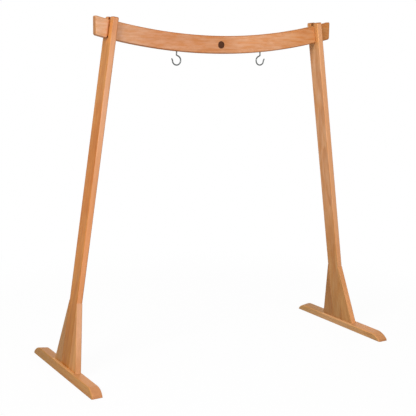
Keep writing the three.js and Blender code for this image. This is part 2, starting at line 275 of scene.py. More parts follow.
class Shape(Tree):
    """A Geometry Nodes tree with named inputs for its sizes."""

    def __init__(self, name, **sizes):
        self.group = bpy.data.node_groups.new(name, "GeometryNodeTree")
        super().__init__(self.group)
        face = self.group.interface
        for label, value in sizes.items():
            kind = "NodeSocketInt" if isinstance(value, int) else "NodeSocketFloat"
            face.new_socket(label, in_out="INPUT", socket_type=kind).default_value = value
        face.new_socket("finish", in_out="INPUT", socket_type="NodeSocketMaterial")
        face.new_socket("Geometry", in_out="OUTPUT", socket_type="NodeSocketGeometry")
        self.size = self.node("NodeGroupInput").outputs
        self.result = self.node("NodeGroupOutput").inputs

    def call(self, group, **values):
        return self.node("GeometryNodeGroup", values, node_tree=group).outputs["Geometry"]

    def skin(self, rows, columns):
        """A grid to wrap round a piece, with the numbers of its rows and columns."""
        grid = self.node(
            "GeometryNodeMeshGrid",
            {
                "Size X": rows,
                "Size Y": columns,
                "Vertices X": self.math("ADD", rows, 1.0),
                "Vertices Y": self.math("ADD", columns, 1.0),
            },
        )
        spot = self.separate(self.node("GeometryNodeInputPosition").outputs[0])
        row, column = (
            self.math("ROUND", self.total(place, self.product(count, 0.5)))
            for place, count in zip(spot, (rows, columns))
        )
        return grid.outputs["Mesh"], row, column

    def corners(self, step, turn, across, up, round_across, round_up):
        """Places round a rectangle whose corners are quarter turns of this many steps."""
        per = self.math("ADD", turn, 1.0)
        quarter = self.math("FLOOR", self.math("DIVIDE", self.math("ADD", step, STEP_NUDGE), per))
        part = self.math("DIVIDE", self.less(step, self.product(quarter, per)), turn)
        bend = self.product(self.math("ADD", quarter, part), math.pi / 2)
        aim = self.product(self.math("ADD", quarter, 0.5), math.pi / 2)
        places = []
        for wave, flat, curved in (("COSINE", across, round_across), ("SINE", up, round_up)):
            side = self.product(self.math("SIGN", self.math(wave, aim)), flat)
            places.append(self.total(side, self.product(curved, self.math(wave, bend))))
        return places

    def round_axis(self, mesh, column, columns, radius, z):
        """The skin turned about the upright axis."""
        angle = self.product(self.math("DIVIDE", column, columns), -2.0 * math.pi)
        x = self.product(radius, self.math("COSINE", angle))
        y = self.product(radius, self.math("SINE", angle))
        return self.welded(self.place_points(mesh, self.combine(x, y, z)))

    def pair(self, geometry, spacing, rise=0.0):
        """Two of them, this far apart from front to back."""
        line = self.node(
            "GeometryNodeMeshLine",
            {
                "Count": 2,
                "Start Location": self.combine(0.0, self.product(spacing, -0.5), rise),
                "Offset": self.combine(0.0, spacing, 0.0),
            },
        )
        copies = self.node(
            "GeometryNodeInstanceOnPoints", {"Points": line.outputs["Mesh"], "Instance": geometry}
        )
        return copies.outputs["Instances"]

    def plug(self, sides, radius, reach):
        """A cylinder that cuts this far to either side of its middle."""
        made = self.node(
            "GeometryNodeMeshCylinder",
            {"Vertices": sides, "Radius": radius, "Depth": self.product(reach, 2.0)},
        )
        return made.outputs["Mesh"]

    def place_points(self, geometry, position):
        made = self.node("GeometryNodeSetPosition", {"Geometry": geometry, "Position": position})
        return made.outputs["Geometry"]

    def moved(self, geometry, **values):
        return self.node("GeometryNodeTransform", {"Geometry": geometry, **values}).outputs["Geometry"]

    def welded(self, geometry):
        made = self.node("GeometryNodeMergeByDistance", {"Geometry": geometry, "Distance": SKIN_WELD})
        return made.outputs["Geometry"]

    def boolean(self, operation, first, *others):
        made = self.node("GeometryNodeMeshBoolean", operation=operation, solver="EXACT")
        if operation == "DIFFERENCE":
            self.feed(made.inputs["Mesh 1"], first)
        else:
            others = (first, *others)
        for geometry in others:
            self.feed(made.inputs["Mesh 2"], geometry)
        return made.outputs["Mesh"]

    def close(self, geometry):
        """Real geometry in the finish that the modifier is given."""
        real = self.node("GeometryNodeRealizeInstances", {"Geometry": geometry}).outputs["Geometry"]
        coat = self.node("GeometryNodeSetMaterial", {"Geometry": real, "Material": self.size["finish"]})
        self.feed(self.result["Geometry"], coat.outputs["Geometry"])
        return self.group


# Beech: how often each figure comes in a metre along, through and across a board
WANDER = (1.3, 6.0, 6.0)
UNEVEN = (0.7, 8.0, 8.0)
BANDS = (0.8, 24.0, 24.0)
STREAKS = (2.6, 95.0, 95.0)
STRANDS = (10.0, 460.0, 460.0)
PATCHES = (3.4, 9.0, 9.0)
FLECKS = (15.0, 90.0, 90.0)
RAYS = (170.0, 1150.0, 620.0)
RINGS = 290.0

# How far the fibres wander, how uneven the rings are, and how many more the taper adds in a metre
WANDER_REACH = 0.024
WANDER_SIDE_SHARE = -0.7
RING_UNEVENNESS = 4.0
RING_TAPER = 1.9

# Where the pith lies, beyond the board and beside its middle
PITH_DEPTH = 0.1
PITH_SIDE = 0.008

# How far a seed moves the board in its log, along, through and across
SEED_SHARES = (1.37, 0.61, 0.83)

# How much each figure changes the tone, which runs from 0 for deep wood to 1 for pale wood
MIDDLE_TONE = 0.52
BAND_TONE = 0.85
STREAK_TONE = 0.7
STRAND_TONE = 0.4
PATCH_TONE = 0.35
RING_TONE = -0.07

# Deep and pale wood, as shares of a board's middle colour in red, green and blue
DEEP_SHARES = (0.74, 0.62, 0.48)
PALE_SHARES = (1.17, 1.24, 1.36)

# Tints that multiply the wood, and how strong they are
FLECK_DEEP = (0.95, 0.86, 0.7, 1.0)
FLECK_PALE = (1.03, 1.14, 1.33, 1.0)
# Painted highlight on the arrises that turn to the light
ARRIS_HIGHLIGHT_TINT = (1.3, 1.22, 1.12, 1.0)
STRIPE_TINT = linear("fbebc8")
RING_TINT = linear("cd9c6c")
RING_STRENGTH = 0.3
RAY_COLOUR = linear("8f5a34")
RAY_STRENGTH = 0.28
# Painted shade on the arrises
ARRIS_SHADE_TINT = linear("cbb17c")
END_GRAIN_TINT = linear("b9986c")
# Painted shade on the neck's broad faces
NECK_SHADE_TINT = linear("dfbb77")

# Satin of the oiled wood, how much each figure roughens it, and the relief of the open grain
SATIN = 0.34
STRAND_ROUGHNESS = 0.14
BAND_ROUGHNESS = 0.1
RAY_ROUGHNESS = 0.1
ARRIS_SHADE_ROUGHNESS = 0.06
GRAIN_DEPTH = 0.0004
GRAIN_RELIEF = 0.12
RAY_RELIEF = 0.6


class Board(Finish):
    """Wood whose grain runs along, and whose broad faces look along thick."""

    def __init__(self, name, along, thick, seed, figure):
        super().__init__(name)
        along, thick = Vector(along).normalized(), Vector(thick).normalized()
        wide = along.cross(thick)
        self.length = self.towards("Object", along)
        self.depth = self.towards("Object", thick)
        self.width = self.towards("Object", wide)
        self.facing = self.towards("Normal", thick)
        self.broad = self.math("ABSOLUTE", self.facing)
        self.narrow = self.math("ABSOLUTE", self.towards("Normal", wide))
        self.cross = self.math("ABSOLUTE", self.towards("Normal", along))
        self.grow(seed)
        self.tone = self.shade(figure)

    def towards(self, what, axis):
        return self.vector("DOT_PRODUCT", self.place[what], tuple(axis))

    def grain(self, place, repeats, detail=3.0, roughness=0.6):
        return self.noise(self.vector("MULTIPLY", place, repeats), 1.0, detail, roughness)

    def grow(self, seed):
        """The figures of the wood, at the seed's place in the log."""
        shifts = [seed * share for share in SEED_SHARES]
        places = (self.length, self.depth, self.width)
        board = self.combine(*(self.math("ADD", place, shift) for place, shift in zip(places, shifts)))

        # Slow wander of the fibres, so that no line is ruled
        wander = self.product(self.less(self.grain(board, WANDER, 2.0, 0.5), 0.5), WANDER_REACH)
        sideways = self.product(wander, WANDER_SIDE_SHARE)
        fibre = self.vector("ADD", board, self.combine(0.0, wander, sideways))

        self.bands = self.grain(fibre, BANDS, roughness=0.55)
        self.streaks = self.grain(fibre, STREAKS)
        self.strands = self.grain(fibre, STRANDS)
        self.flecks = self.grain(fibre, FLECKS)
        self.patches = self.grain(board, PATCHES, 2.0, 0.5)

        # Growth rings round a pith beyond one face, drawn out into long tongues by the taper of the log
        parts = self.separate(fibre)
        beyond = self.less(parts[1], shifts[1] - PITH_DEPTH)
        beside = self.less(parts[2], shifts[2] + PITH_SIDE)
        radius = self.math("SQRT", self.total(self.product(beyond, beyond), self.product(beside, beside)))
        turns = self.total(
            self.product(radius, RINGS),
            self.product(self.grain(board, UNEVEN, 1.0, 0.5), RING_UNEVENNESS),
            self.product(parts[0], RING_TAPER),
        )
        late = self.math("FRACT", turns)
        darkening = self.spread(late, 0.15, 0.82, smooth=True)
        ending = self.fade(late, 0.84, 0.97)
        clearer = self.spread(self.bands, 0.36, 0.6, 0.2, 1.0, smooth=True)
        self.rings = self.product(darkening, ending, clearer)

        # Short dark rays
        spots = self.vector("MULTIPLY", fibre, RAYS)
        cells = self.node("ShaderNodeTexVoronoi", {"Vector": spots, "Scale": 1.0}, feature="F1")
        self.rays = self.fade(cells.outputs["Distance"], 0.14, 0.3)

    def shade(self, strength):
        """The tone of each spot, where the broad figures have this strength."""
        figures = (
            (self.bands, BAND_TONE * strength),
            (self.streaks, STREAK_TONE * strength),
            (self.strands, STRAND_TONE),
            (self.patches, PATCH_TONE * strength),
        )
        parts = [self.product(self.less(figure, 0.5), share) for figure, share in figures]
        pattern = self.total(*parts, self.product(self.rings, RING_TONE))
        return self.math("ADD", pattern, MIDDLE_TONE)

    def wood(self, colour):
        """Deep, middle and pale wood about one colour."""
        deep, pale = scaled(colour, *DEEP_SHARES), scaled(colour, *PALE_SHARES)
        return self.ramp(self.tone, (0.0, deep), (0.5, linear(colour)), (1.0, pale))

    def drift(self, stops):
        """Wood of one colour, or of colours that change slowly from place to place along the grain. On the
        stand's boards the stops also hold painted light and shade.
        """
        if isinstance(stops, str):
            return self.wood(stops)
        (place, colour), *others = stops
        result = self.wood(colour)
        for further, colour in others:
            past = self.spread(self.length, place, further, smooth=True)
            result = self.mix(past, result, self.wood(colour))
            place = further
        return result

    def flecked(self, colour, strength):
        """Short pale flecks between deeper wood."""
        deep = self.tint(strength, colour, FLECK_DEEP)
        pale = self.tint(strength, colour, FLECK_PALE)
        return self.mix(self.spread(self.flecks, 0.38, 0.62), deep, pale)

    def striped(self, colour, near, far, start, full, fading, end):
        """A band of deeper wood, from near to far across the board and from start to end along it."""
        across = self.math("ADD", self.width, self.product(self.less(self.bands, 0.5), 0.05))
        band = self.product(
            self.spread(across, near, far, smooth=True),
            self.spread(self.length, start, full, smooth=True),
            self.fade(self.length, fading, end),
        )
        broken = self.spread(self.streaks, 0.35, 0.65, 1.0, 0.6)
        return self.tint(self.product(band, broken), colour, STRIPE_TINT)

    def edged(self, colour, edge):
        """Narrow faces in tones of their own, which differ from the broad faces partly as wood and partly
        as painted shade.
        """
        return self.mix(self.fade(self.broad, 0.35, 0.85), colour, self.drift(edge))

    def lain(self, colour, under):
        """One tone for the face that lies on the floor."""
        below = self.spread(self.separate(self.place["Normal"])[2], -0.8, -0.5, 1.0, 0.0)
        return self.mix(below, colour, self.wood(under))

    def marked(self, colour):
        """Late wood in the growth rings, and dark rays."""
        ringed = self.tint(self.product(self.rings, RING_STRENGTH), colour, RING_TINT)
        return self.mix(self.product(self.rays, RAY_STRENGTH), ringed, RAY_COLOUR)

    def arris_light_and_shade(self, colour, arris, crown):
        """Painted shade along the arrises, and a painted highlight where arris is below zero. Gives the
        colour, and where the painted shade is.
        """
        # The arrises that get painted shade: along the board on either side, and round the ends
        rim = self.math("MINIMUM", self.math("MAXIMUM", self.broad, self.narrow), self.cross)
        side = self.spread(self.facing, -0.1, 0.1, arris[1], arris[0])
        long_edge = self.math("MINIMUM", self.broad, self.narrow)
        lengthwise = self.product(long_edge, self.math("MAXIMUM", side, 0.0))
        edges = self.math("MAXIMUM", lengthwise, self.product(rim, crown))
        arris_shade = self.spread(edges, 0.1, 0.4, smooth=True)
        arris_shade = self.product(arris_shade, self.spread(self.streaks, 0.3, 0.65, 1.0, 0.7))
        colour = self.tint(arris_shade, colour, ARRIS_SHADE_TINT)
        # Painted highlight on the long arrises, on the side where arris is below zero
        if min(arris) < 0.0:
            arris_highlight = self.product(long_edge, self.math("MAXIMUM", self.product(side, -1.0), 0.0))
            colour = self.tint(self.spread(arris_highlight, 0.05, 0.4, smooth=True), colour, ARRIS_HIGHLIGHT_TINT)
        return colour, arris_shade

    def shaded_slot(self, colour, floor, tint):
        """Painted shade on the walls across the board, above the floor of its slot."""
        across = self.math("ABSOLUTE", self.width)
        inside = self.product(
            self.spread(self.narrow, 0.6, 0.9),
            self.spread(across, SLOT_SIDE + 0.0004, SLOT_SIDE + 0.002, 1.0, 0.0),
            self.spread(self.length, floor, floor + 0.002),
        )
        return self.tint(inside, colour, linear(tint))

    def shaded_neck(self, colour, half):
        """Painted shade on the broad faces no further out than half, where the neck sits in the slot."""
        deep = self.spread(self.math("ABSOLUTE", self.depth), half + 0.001, half + 0.0025, 1.0, 0.0)
        return self.tint(self.product(deep, self.spread(self.broad, 0.6, 0.9)), colour, NECK_SHADE_TINT)


def beech(
    name, along, thick, seed, face, edge, figure=1.0, flecks=0.3, arris=(0.5, 0.5), crown=0.0,
    end_grain=0.2, shine=0.2, stripe=None, slot=None, neck=0.0, under=None,
):
    """Oiled steamed beech for one board.

    face and edge are the tones of the broad and the narrow faces: one colour, or pairs of a place along
    the grain and its colour. On the stand's boards they also hold painted light and shade.
    figure is the strength of the broad figures, and flecks that of the short pale flecks.
    arris is how far painted shade darkens the long arrises, on the side that thick points to and on
    the other. Below zero they get a painted highlight instead.
    crown is how far painted shade darkens the arrises round the ends, and end_grain the ends of the fibres.
    stripe is a band of deeper wood, slot the floor of a slot and the painted shade tint of its walls,
    neck the half thickness of a neck whose broad faces get painted shade, and under the tone of the face
    that lies on the floor.
    """
    board = Board(name, along, thick, seed, figure)
    colour = board.flecked(board.drift(face), flecks)
    if stripe:
        colour = board.striped(colour, **stripe)
    colour = board.edged(colour, edge)
    if under:
        colour = board.lain(colour, under)
    # Painted shade and painted highlights on the arrises
    colour, arris_shade = board.arris_light_and_shade(board.marked(colour), arris, crown)
    ends = board.spread(board.cross, 0.6, 0.95, 0.0, end_grain, smooth=True)
    colour = board.tint(ends, colour, END_GRAIN_TINT)
    # Painted shade on the walls of the slot
    if slot:
        colour = board.shaded_slot(colour, *slot)
    # Painted shade on the neck's broad faces
    if neck:
        colour = board.shaded_neck(colour, neck)
    rough = board.total(
        SATIN,
        board.product(board.strands, STRAND_ROUGHNESS),
        board.product(board.bands, BAND_ROUGHNESS),
        board.product(board.rays, RAY_ROUGHNESS),
        board.product(arris_shade, ARRIS_SHADE_ROUGHNESS),
    )
    relief = board.less(board.strands, board.product(board.rays, RAY_RELIEF))
    board.feed(board.shader.inputs["Base Color"], colour)
    board.feed(board.shader.inputs["Roughness"], rough)
    board.shader.inputs["Specular IOR Level"].default_value = shine
    board.bump(relief, strength=GRAIN_RELIEF, distance=GRAIN_DEPTH)
    return board.material


# Metal and rubber: how often their figures come in a metre
CLOUDS = 260.0
RUBBED_MARKS = 2340.0
GRIT = 900.0
BLOOM = 60.0


def steel(name, light, dark, roughness):
    """Plated or blackened steel, with a cloudy coat and fine rubbed marks."""
    f = Finish(name)
    place = f.place["Object"]
    clouds = f.noise(place, CLOUDS, detail=3.0, roughness=0.6)
    drawn_out = f.vector("MULTIPLY", place, (1.0, 1.0, 0.15))
    marks = f.noise(drawn_out, RUBBED_MARKS, roughness=0.7)
    f.feed(f.shader.inputs["Base Color"], f.ramp(clouds, (0.25, dark), (0.75, light)))
    f.shader.inputs["Metallic"].default_value = 1.0
    f.feed(f.shader.inputs["Roughness"], f.total(roughness, f.product(clouds, 0.16)))
    f.bump(marks, strength=0.04, distance=0.0002)
    return f.material


def rubber(name):
    """Black rubber with a dusty bloom."""
    f = Finish(name)
    place = f.place["Object"]
    grit = f.noise(place, GRIT, detail=3.0, roughness=0.7)
    bloom = f.noise(place, BLOOM)
    f.feed(f.shader.inputs["Base Color"], f.ramp(bloom, (0.3, "24211f"), (0.8, "3a3633")))
    f.feed(f.shader.inputs["Roughness"], f.spread(grit, 0.2, 0.8, 0.72, 0.92))
    f.bump(grit, strength=0.3, distance=0.0003)
    return f.material


def arc_height(radius, x):
    """Height of an arc of the bar, this far from the middle of the stand."""
    return ARC_Z - math.sqrt(radius * radius - x * x)


# Directions of the boards, the floor of the slots along the grain of the posts, and each board's wood
UP_LEFT = (math.sin(LEAN), 0.0, math.cos(LEAN))
UP_RIGHT = (-math.sin(LEAN), 0.0, math.cos(LEAN))
OUT_LEFT = (-math.cos(LEAN), 0.0, math.sin(LEAN))
OUT_RIGHT = (math.cos(LEAN), 0.0, math.sin(LEAN))
FRONT = (0.0, -1.0, 0.0)
ALONG = (1.0, 0.0, 0.0)
SLOT_FLOOR = (arc_height(UNDER_RADIUS, CROSS_X) + NECK_NOTCH) / math.cos(LEAN) - LEG_X * math.sin(LEAN)

# The face and edge tones hold painted light and shade besides the wood's own tone: broad faces that get
# less light are deeper, and further marks are noted at each board
LEG_BOARDS = {
    "left_post": dict(
        along=UP_LEFT, thick=OUT_LEFT, seed=1.0,
        # face: darker towards the floor as painted shade, and paler from 1.305 to 1.335 as painted light
        # against the stub's shadow below it
        face=(
            (0.0, "bb7524"), (0.09, "c47a27"), (0.27, "d3893d"), (0.52, "df9044"), (0.62, "dc8d42"),
            (0.88, "d2843b"), (1.02, "da8f47"), (1.2, "e09851"), (1.285, "df964b"), (1.305, "f2a351"),
            (1.335, "efab66"), (1.37, "e49c5a"),
        ),
        edge=(
            (0.55, "e49b66"), (0.75, "e09d6c"), (1.05, "e3a87f"), (1.2, "e2a77e"), (1.3, "dc9f73"),
            (1.36, "d19064"),
        ),
        flecks=0.8, arris=(0.35, 1.8), crown=1.0, end_grain=0.9,
        # slot: painted shade on the walls of the slot
        slot=(SLOT_FLOOR, "9c7a54"),
        stripe=dict(near=-0.026, far=0.002, start=0.56, full=0.62, fading=1.02, end=1.07),
    ),
    "right_post": dict(
        along=UP_RIGHT, thick=OUT_RIGHT, seed=2.3,
        # face: darker towards the floor as painted shade
        face=(
            (-0.05, "c48b4f"), (0.2, "d5985c"), (0.4, "df9d62"), (0.55, "e5a774"), (1.25, "e5a774"),
            (1.32, "e2a263"),
        ),
        edge=((0.25, "db9b6a"), (0.45, "dfa272")),
        # The slot tint is painted shade on the walls of the slot
        figure=0.65, flecks=0.8, arris=(1.0, -0.3), crown=1.0, end_grain=0.9, slot=(SLOT_FLOOR, "beb590"),
    ),
    "left_front_wedge": dict(
        along=UP_LEFT, thick=OUT_LEFT, seed=3.1,
        face="d99854", edge=((-0.05, "d19462"), (0.03, "dca174"), (0.08, "dea47a")),
        figure=0.7, arris=(0.2, 1.0),
    ),
    "left_back_wedge": dict(
        along=UP_LEFT, thick=OUT_LEFT, seed=1.0,
        face="b98449", edge="df9f69", figure=0.6, arris=(0.4, 0.4),
    ),
    "right_front_wedge": dict(
        along=UP_RIGHT, thick=OUT_RIGHT, seed=2.3,
        face="d39757", edge=((0.05, "de9c66"), (0.15, "d3925d")), figure=0.6, arris=(0.8, 0.1),
    ),
    "right_back_wedge": dict(
        along=UP_RIGHT, thick=OUT_RIGHT, seed=2.3,
        face="be864d", edge="dd9e66", figure=0.6, arris=(0.4, 0.4),
    ),
    "left_foot": dict(
        along=FRONT, thick=OUT_LEFT, seed=7.2,
        # face and edge: darker towards the back as painted shade; the edge is paler from -0.112 to 0.112,
        # beside the wedges, as painted light against their contact shade
        face=((-0.25, "b6813d"), (0.0, "c08641"), (0.15, "cc914d")),
        edge=(
            (-0.2, "c6894f"), (-0.118, "c68b52"), (-0.112, "e6ad71"), (0.112, "e6ad71"), (0.118, "d79760"),
            (0.19, "dc985d"), (0.24, "dc985d"), (0.31, "cf8f5f"),
        ),
        figure=0.5, arris=(-0.3, 0.4), under="d2935a",
    ),
    "right_foot": dict(
        along=FRONT, thick=OUT_RIGHT, seed=8.8,
        face=(
            (-0.26, "d09f63"), (-0.2, "d6a269"), (-0.05, "e0ac75"), (0.1, "deac75"), (0.2, "e2ab6f"),
            (0.27, "d19c63"),
        ),
        # edge: darker towards the back as painted shade, and paler from -0.112 to 0.112, beside the wedges,
        # as painted light against their contact shade
        edge=(
            (-0.18, "bd874f"), (-0.118, "bb8953"), (-0.112, "e7b481"), (0.112, "e7b481"), (0.118, "d59b69"),
            (0.19, "dc9d69"), (0.24, "dc9d69"), (0.31, "cc915f"),
        ),
        figure=0.45, arris=(0.4, -0.5), end_grain=0.4, under="cf9761",
    ),
}


# Pieces that stand for nodes, and the boards of the legs
def body_of(node):
    """The body that a node rides on."""
    for body, members in frame["record"]["behaviour"]["bodies"].items():
        if node in members:
            return body
    raise ValueError(node)


def settled(piece):
    """Turns the piece's modifiers into a plain mesh."""
    depsgraph = bpy.context.evaluated_depsgraph_get()
    mesh = bpy.data.meshes.new_from_object(piece.evaluated_get(depsgraph))
    piece.modifiers.clear()
    spare = piece.data
    piece.data = mesh
    bpy.data.meshes.remove(spare)


def softened(piece, crease=40.0):
    """Smooth shading with sharp creases and even light on the flat faces."""
    surface = bmesh.new()
    surface.from_mesh(piece.data)
    for face in surface.faces:
        face.smooth = True
    for edge in surface.edges:
        edge.smooth = edge.calc_face_angle(0.0) < math.radians(crease)
    surface.to_mesh(piece.data)
    surface.free()
    weighted = piece.modifiers.new("weighted", "WEIGHTED_NORMAL")
    weighted.keep_sharp = True
    weighted.weight = 100
    settled(piece)


def stand_for(piece, finish, *replaced):
    """The piece takes the place of these nodes and rides on their body."""
    piece.data.name = piece.name
    piece.data.materials.clear()
    piece.data.materials.append(finish)
    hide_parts(*replaced)
    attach(piece, body_of(replaced[0]))


def smooth_board(node, finish):
    """The sawn and rounded board of a node, welded, with soft arrises and flat faces."""
    piece = bpy.data.objects.new(node + "_board", nodes[node].data.copy())
    scene.collection.objects.link(piece)
    weld = piece.modifiers.new("weld", "WELD")
    weld.merge_threshold = BOARD_WELD
    settled(piece)
    softened(piece)
    stand_for(piece, finish, node)


def shaped(name, group, finish, **values):
    """A piece made by a Geometry Nodes tree from its named sizes."""
    piece = bpy.data.objects.new(name, bpy.data.meshes.new(name))
    scene.collection.objects.link(piece)
    grown = piece.modifiers.new("shape", "NODES")
    grown.node_group = group
    labels = {
        item.name: item.identifier for item in group.interface.items_tree if item.in_out == "INPUT"
    }
    for label, value in values.items():
        grown[labels[label]] = value
    grown[labels["finish"]] = finish
    settled(piece)
    return piece


for board, wood in LEG_BOARDS.items():
    smooth_board(board, beech(board + "_beech", **wood))


# Crossbar
def panel_group():
    """A board bent to the arch of the bar, with slanted ends and rounded arrises."""
    t = Shape(
        "arched_panel",
        left=-0.5, right=0.5, left_slope=0.0, right_slope=0.0, under=UNDER_RADIUS, over=BAR_RADIUS,
        arc_height=ARC_Z, thickness=BAR_THICKNESS, round_x=BAR_EASE[0], round_y=BAR_EASE[1],
        round_z=BAR_EASE[2], steps=40, round_steps=4,
    )
    size = t.size
    steps, turn = size["steps"], size["round_steps"]
    rows = t.total(steps, t.product(turn, 2.0), 2.0)
    columns = t.product(t.math("ADD", turn, 1.0), 4.0)
    mesh, row, column = t.skin(rows, columns)

    # Along the board: a closing point, a rounded end, the straight run, and the same again
    middle = t.product(rows, 0.5)
    inwards = t.math("MINIMUM", row, t.less(rows, row))
    way = t.math("SIGN", t.less(row, middle))
    roll = t.product(t.math("DIVIDE", t.less(inwards, 1.0), turn, clamp=True), math.pi / 2)
    run = t.math("DIVIDE", t.less(row, t.math("ADD", turn, 1.0)), steps, clamp=True)
    opened = t.math("MINIMUM", inwards, 1.0)

    # Round the board: four quarter turns joined by flat faces
    swell = t.math("SINE", roll)
    height = t.less(size["under"], size["over"])
    y, rise = t.corners(
        column,
        turn,
        t.less(t.product(size["thickness"], 0.5), size["round_y"]),
        t.less(t.product(height, 0.5), size["round_z"]),
        t.product(size["round_y"], swell),
        t.product(size["round_z"], swell),
    )
    y, rise = t.product(y, opened), t.product(rise, opened)

    left = t.total(size["left"], t.product(rise, size["left_slope"]), size["round_x"])
    right = t.less(t.total(size["right"], t.product(rise, size["right_slope"])), size["round_x"])
    x = t.total(
        t.product(left, t.less(1.0, run)),
        t.product(right, run),
        t.product(way, size["round_x"], t.math("COSINE", roll)),
    )
    reach = t.less(t.product(t.total(size["under"], size["over"]), 0.5), rise)
    z = t.less(size["arc_height"], t.math("SQRT", t.less(t.product(reach, reach), t.product(x, x))))
    return t.close(t.welded(t.place_points(mesh, t.combine(x, y, z))))


def shoulder(out):
    """X of a line along the right leg, this far outwards from its axis, halfway up the bar.

    Each round puts x right for the height of the bar there.
    """
    x = CROSS_X
    for _ in range(20):
        x = LEG_X + out / math.cos(LEAN) - arc_height(MIDDLE_RADIUS, x) * math.tan(LEAN)
    return x


def rounding(ease):
    return dict(zip(("round_x", "round_y", "round_z"), ease))


def crossbar_group(panel):
    """Three thick boards on two necks, with the bores of the hooks and the seat of the inlay."""
    t = Shape(
        "arched_crossbar",
        inner_shoulder=shoulder(-POST_THICKNESS / 2 - SEAT_GAP),
        outer_shoulder=shoulder(POST_THICKNESS / 2 + SHOULDER_GAP),
        shoulder_slope=math.tan(LEAN) / math.cos(math.asin(CROSS_X / MIDDLE_RADIUS)),
        end=BAR_END, thickness=BAR_THICKNESS, under=UNDER_RADIUS, over=BAR_RADIUS, arc_height=ARC_Z,
        neck_thickness=NECK_THICKNESS, neck_notch=NECK_NOTCH, neck_inset=NECK_INSET,
        neck_overlap=NECK_OVERLAP, hook_spot=HOOK_X, bore_radius=WIRE + BORE_CLEARANCE,
        bore_reach=HOOK_SCREW, bore_height=BORE_MIDDLE, inlay_radius=INLAY_RADIUS + BORE_CLEARANCE,
        inlay_depth=INLAY_DEPTH + SEAT_GAP, inlay_height=ARC_Z - MIDDLE_RADIUS,
    )
    size = t.size
    slope = size["shoulder_slope"]
    counter_slope = t.product(slope, -1.0)
    thick = dict(
        under=size["under"], over=size["over"], arc_height=size["arc_height"], thickness=size["thickness"],
        **rounding(BAR_EASE),
    )
    middle = t.call(
        panel,
        left=t.product(size["inner_shoulder"], -1.0), right=size["inner_shoulder"],
        left_slope=slope, right_slope=counter_slope, steps=60, **{**thick, "round_x": SHOULDER_EASE},
    )
    right_stub = t.call(
        panel,
        left=size["outer_shoulder"], right=size["end"], left_slope=counter_slope, steps=6, **thick,
    )
    left_stub = t.call(
        panel,
        left=t.product(size["end"], -1.0), right=t.product(size["outer_shoulder"], -1.0),
        right_slope=slope, steps=6, **thick,
    )

    from_x = t.less(size["inner_shoulder"], size["neck_overlap"])
    to_x = t.math("ADD", size["outer_shoulder"], size["neck_overlap"])
    thin = dict(
        under=t.less(size["under"], size["neck_notch"]),
        over=t.math("ADD", size["over"], size["neck_inset"]),
        arc_height=size["arc_height"], thickness=size["neck_thickness"], steps=4, **rounding(NECK_EASE),
    )
    right_neck = t.call(panel, left=from_x, right=to_x, **thin)
    left_neck = t.call(panel, left=t.product(to_x, -1.0), right=t.product(from_x, -1.0), **thin)
    whole = t.boolean("UNION", middle, right_stub, left_stub, right_neck, left_neck)

    bore = t.plug(sides=24, radius=size["bore_radius"], reach=size["bore_reach"])
    cuts = []
    for sign in (-1.0, 1.0):
        spot = t.combine(t.product(size["hook_spot"], sign), 0.0, size["bore_height"])
        cuts.append(t.moved(bore, Translation=spot))
    seat = t.plug(sides=64, radius=size["inlay_radius"], reach=size["inlay_depth"])
    spot = t.combine(0.0, t.product(size["thickness"], -0.5), size["inlay_height"])
    cuts.append(t.moved(seat, Translation=spot, Rotation=(math.pi / 2, 0.0, 0.0)))
    return t.close(t.welded(t.boolean("DIFFERENCE", whole, *cuts)))


bar_beech = beech(
    "crossbar_beech", ALONG, FRONT, seed=9.5,
    # face: paler from 0.15 to 0.38 as painted light, and from 0.531 the right stub is deeper, partly wood
    # and partly painted shadow of the right post
    face=(
        (-0.531, "d6a077"), (-0.529, "d49e77"), (-0.3, "ce8e62"), (0.0, "cd8c5e"), (0.15, "e1a275"),
        (0.27, "e2a376"), (0.38, "db9865"), (0.45, "d28d59"), (0.529, "cd8a51"), (0.531, "c58248"),
    ),
    edge="c98a52",
    # neck gives the neck's broad faces painted shade
    flecks=1.0, arris=(0.6, 0.8), crown=0.3, end_grain=0.04, neck=NECK_THICKNESS / 2,
)
bar = shaped("crossbar_boards", crossbar_group(panel_group()), bar_beech)
softened(bar)
stand_for(bar, bar_beech, "crossbar")


